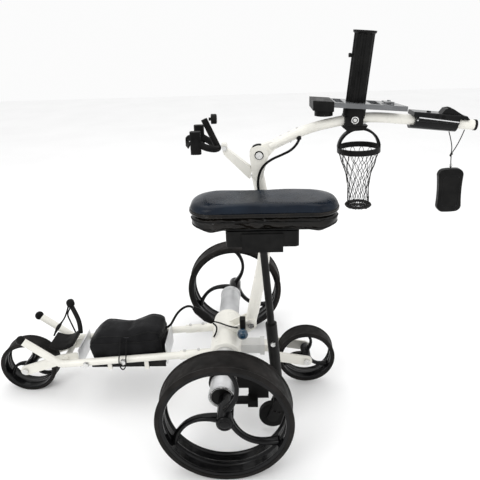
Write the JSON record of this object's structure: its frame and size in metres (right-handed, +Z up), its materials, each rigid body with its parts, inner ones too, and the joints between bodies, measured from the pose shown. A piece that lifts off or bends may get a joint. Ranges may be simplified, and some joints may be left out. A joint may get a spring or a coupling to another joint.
{
  "type": "electric golf trolley",
  "caption": "Three-wheeled electric golf trolley with folding mast, geared wheel motors, padded seat, battery bag, curved handle, umbrella holder, score console, ball net and hanging remote.",
  "frame": {"origin": "on the ground, midway between the rear wheels", "axes": "+X towards the handle, +Y towards the right-hand wheel, +Z up"},
  "size_m": [1.3154, 0.665, 0.9997],
  "materials": {
    "white_paint": "satin",
    "grey_paint": "satin",
    "bright_steel": "satin",
    "bare_aluminium": "satin",
    "tread_rubber": "matte",
    "black_rubber": "matte",
    "gloss_black": "gloss",
    "black_plastic": "satin",
    "black_steel": "satin",
    "smoke_plastic": "gloss",
    "teal_gloss": "gloss",
    "bag_nylon": "matte",
    "seat_vinyl": "gloss",
    "net_cord": "matte",
    "elastic": "matte",
    "cable_sheath": "satin",
    "battery_case": "satin",
    "board_green": "satin"
  },
  "bodies": {
    "chassis": {"axle_housing": "white_paint", "motor_tubes": "bare_aluminium", "gear_motors": "black_steel", "frame_rails": "white_paint", "arm_end_caps": "black_rubber", "front_fork": "white_paint", "axle_bolts": "bright_steel", "cross_plates": "bare_aluminium", "battery_tray": "black_steel", "frame_bolts": "bright_steel", "cradle_pad": "black_rubber", "elastic_cords": "elastic", "battery_bag": "bag_nylon", "battery": "battery_case", "connector_boot": "black_rubber", "battery_leads": "cable_sheath", "latch_column": "black_plastic", "antitip_receiver": "grey_paint", "antitip_arm": "white_paint", "seat_socket": "black_steel", "seat_clamp": "black_steel"},
    "lock_knob": {"lock_knob": "teal_gloss"},
    "wheel_left": {"tyre_left": "tread_rubber", "rim_left": "gloss_black", "drive_axle_left": "bright_steel"},
    "wheel_right": {"tyre_right": "tread_rubber", "rim_right": "gloss_black", "drive_axle_right": "bright_steel"},
    "front_wheel": {"front_tyre": "tread_rubber", "front_rim": "gloss_black"},
    "antitip_wheel": {"antitip_tyre": "tread_rubber", "antitip_rim": "gloss_black"},
    "castor": {"castor_wheel": "black_rubber"},
    "seat": {"seat_post": "black_steel", "seat_box": "black_plastic", "seat_pocket": "seat_vinyl", "seat_cushion": "seat_vinyl"},
    "mast": {"mast_tube": "white_paint", "hinge_bolt": "bright_steel", "bag_arm": "white_paint", "bag_bracket": "black_rubber", "bracket_strap": "elastic"},
    "bracket_knob": {"bracket_knob": "black_plastic"},
    "handle": {"handle_tube": "white_paint", "handle_caps": "black_plastic", "handle_cable": "cable_sheath", "control_box": "gloss_black", "circuit_board": "board_green", "handle_clamps": "black_plastic", "umbrella_tube": "black_plastic", "console_tray": "smoke_plastic", "basket_ring": "black_plastic", "ball_net": "net_cord"},
    "speed_dial": {"speed_dial": "black_plastic"},
    "power_button": {"power_button": "black_rubber"},
    "umbrella_screw": {"umbrella_screw": "black_plastic"},
    "console_clip": {"console_clip": "smoke_plastic"},
    "remote": {"remote_case": "black_plastic", "lanyard": "net_cord"},
    "remote_button": {"remote_button": "black_rubber"}
  },
  "joints": [
    {"name": "left_wheel_spin", "type": "hinge", "parent": "chassis", "child": "wheel_left", "pos_m": [0, -0.3, 0.16], "axis": [0, 1, 0], "continuous": true},
    {"name": "right_wheel_spin", "type": "hinge", "parent": "chassis", "child": "wheel_right", "pos_m": [0, 0.3, 0.16], "axis": [0, 1, 0], "continuous": true},
    {"name": "front_wheel_spin", "type": "hinge", "parent": "chassis", "child": "front_wheel", "pos_m": [-0.604, 0, 0.082], "axis": [0, 1, 0], "continuous": true},
    {"name": "antitip_wheel_spin", "type": "hinge", "parent": "chassis", "child": "antitip_wheel", "pos_m": [0.217, 0, 0.104], "axis": [0, 1, 0], "continuous": true},
    {"name": "castor_spin", "type": "hinge", "parent": "chassis", "child": "castor", "pos_m": [0.114, -0.178, 0.051], "axis": [0, 1, 0], "continuous": true},
    {"name": "lock_knob_turn", "type": "hinge", "parent": "chassis", "child": "lock_knob", "pos_m": [0.037, -0.05, 0.214], "axis": [0, 1, 0], "continuous": true},
    {"name": "mast_fold", "type": "hinge", "parent": "chassis", "child": "mast", "pos_m": [0.06, 0, 0.217], "axis": [0, -1, 0], "range_deg": [0, 70]},
    {"name": "seat_height", "type": "slide", "parent": "chassis", "child": "seat", "axis": [-0.0758, 0, 0.9971], "range_m": [0, 0.04]},
    {"name": "handle_fold", "type": "hinge", "parent": "mast", "child": "handle", "pos_m": [0.093, 0, 0.708], "axis": [0, 1, 0], "range_deg": [-30, 45], "deforming": ["handle_cable"]},
    {"name": "bracket_knob_turn", "type": "hinge", "parent": "mast", "child": "bracket_knob", "pos_m": [-0.03, 0, 0.8], "axis": [1, 0, 0], "continuous": true},
    {"name": "speed_dial_turn", "type": "hinge", "parent": "handle", "child": "speed_dial", "pos_m": [0.55591, 0, 0.80233], "axis": [0, 1, 0], "range_deg": [0, 270]},
    {"name": "power_button_press", "type": "slide", "parent": "handle", "child": "power_button", "axis": [-0.1078, 0, -0.9942], "range_m": [0, 0.0012], "stiffness_N_per_m": 400, "springref_m": -0.0005},
    {"name": "umbrella_screw_turn", "type": "hinge", "parent": "handle", "child": "umbrella_screw", "pos_m": [0.34119, 0, 0.94244], "axis": [-1, 0, 0], "continuous": true},
    {"name": "console_clip_lift", "type": "hinge", "parent": "handle", "child": "console_clip", "pos_m": [0.416, 0, 0.82906], "axis": [0, 1, 0], "range_deg": [0, 60], "stiffness_Nm_per_rad": 0.02, "springref_deg": -5.73},
    {"name": "remote_swing", "type": "hinge", "parent": "handle", "child": "remote", "pos_m": [0.58361, 0, 0.75456], "axis": [0.9942, 0, -0.1078], "range_deg": [-20, 20]},
    {"name": "remote_button_press", "type": "slide", "parent": "remote", "child": "remote_button", "axis": [0, -1, 0], "range_m": [0, 0.001], "stiffness_N_per_m": 300, "springref_m": -0.0005}
  ]
}
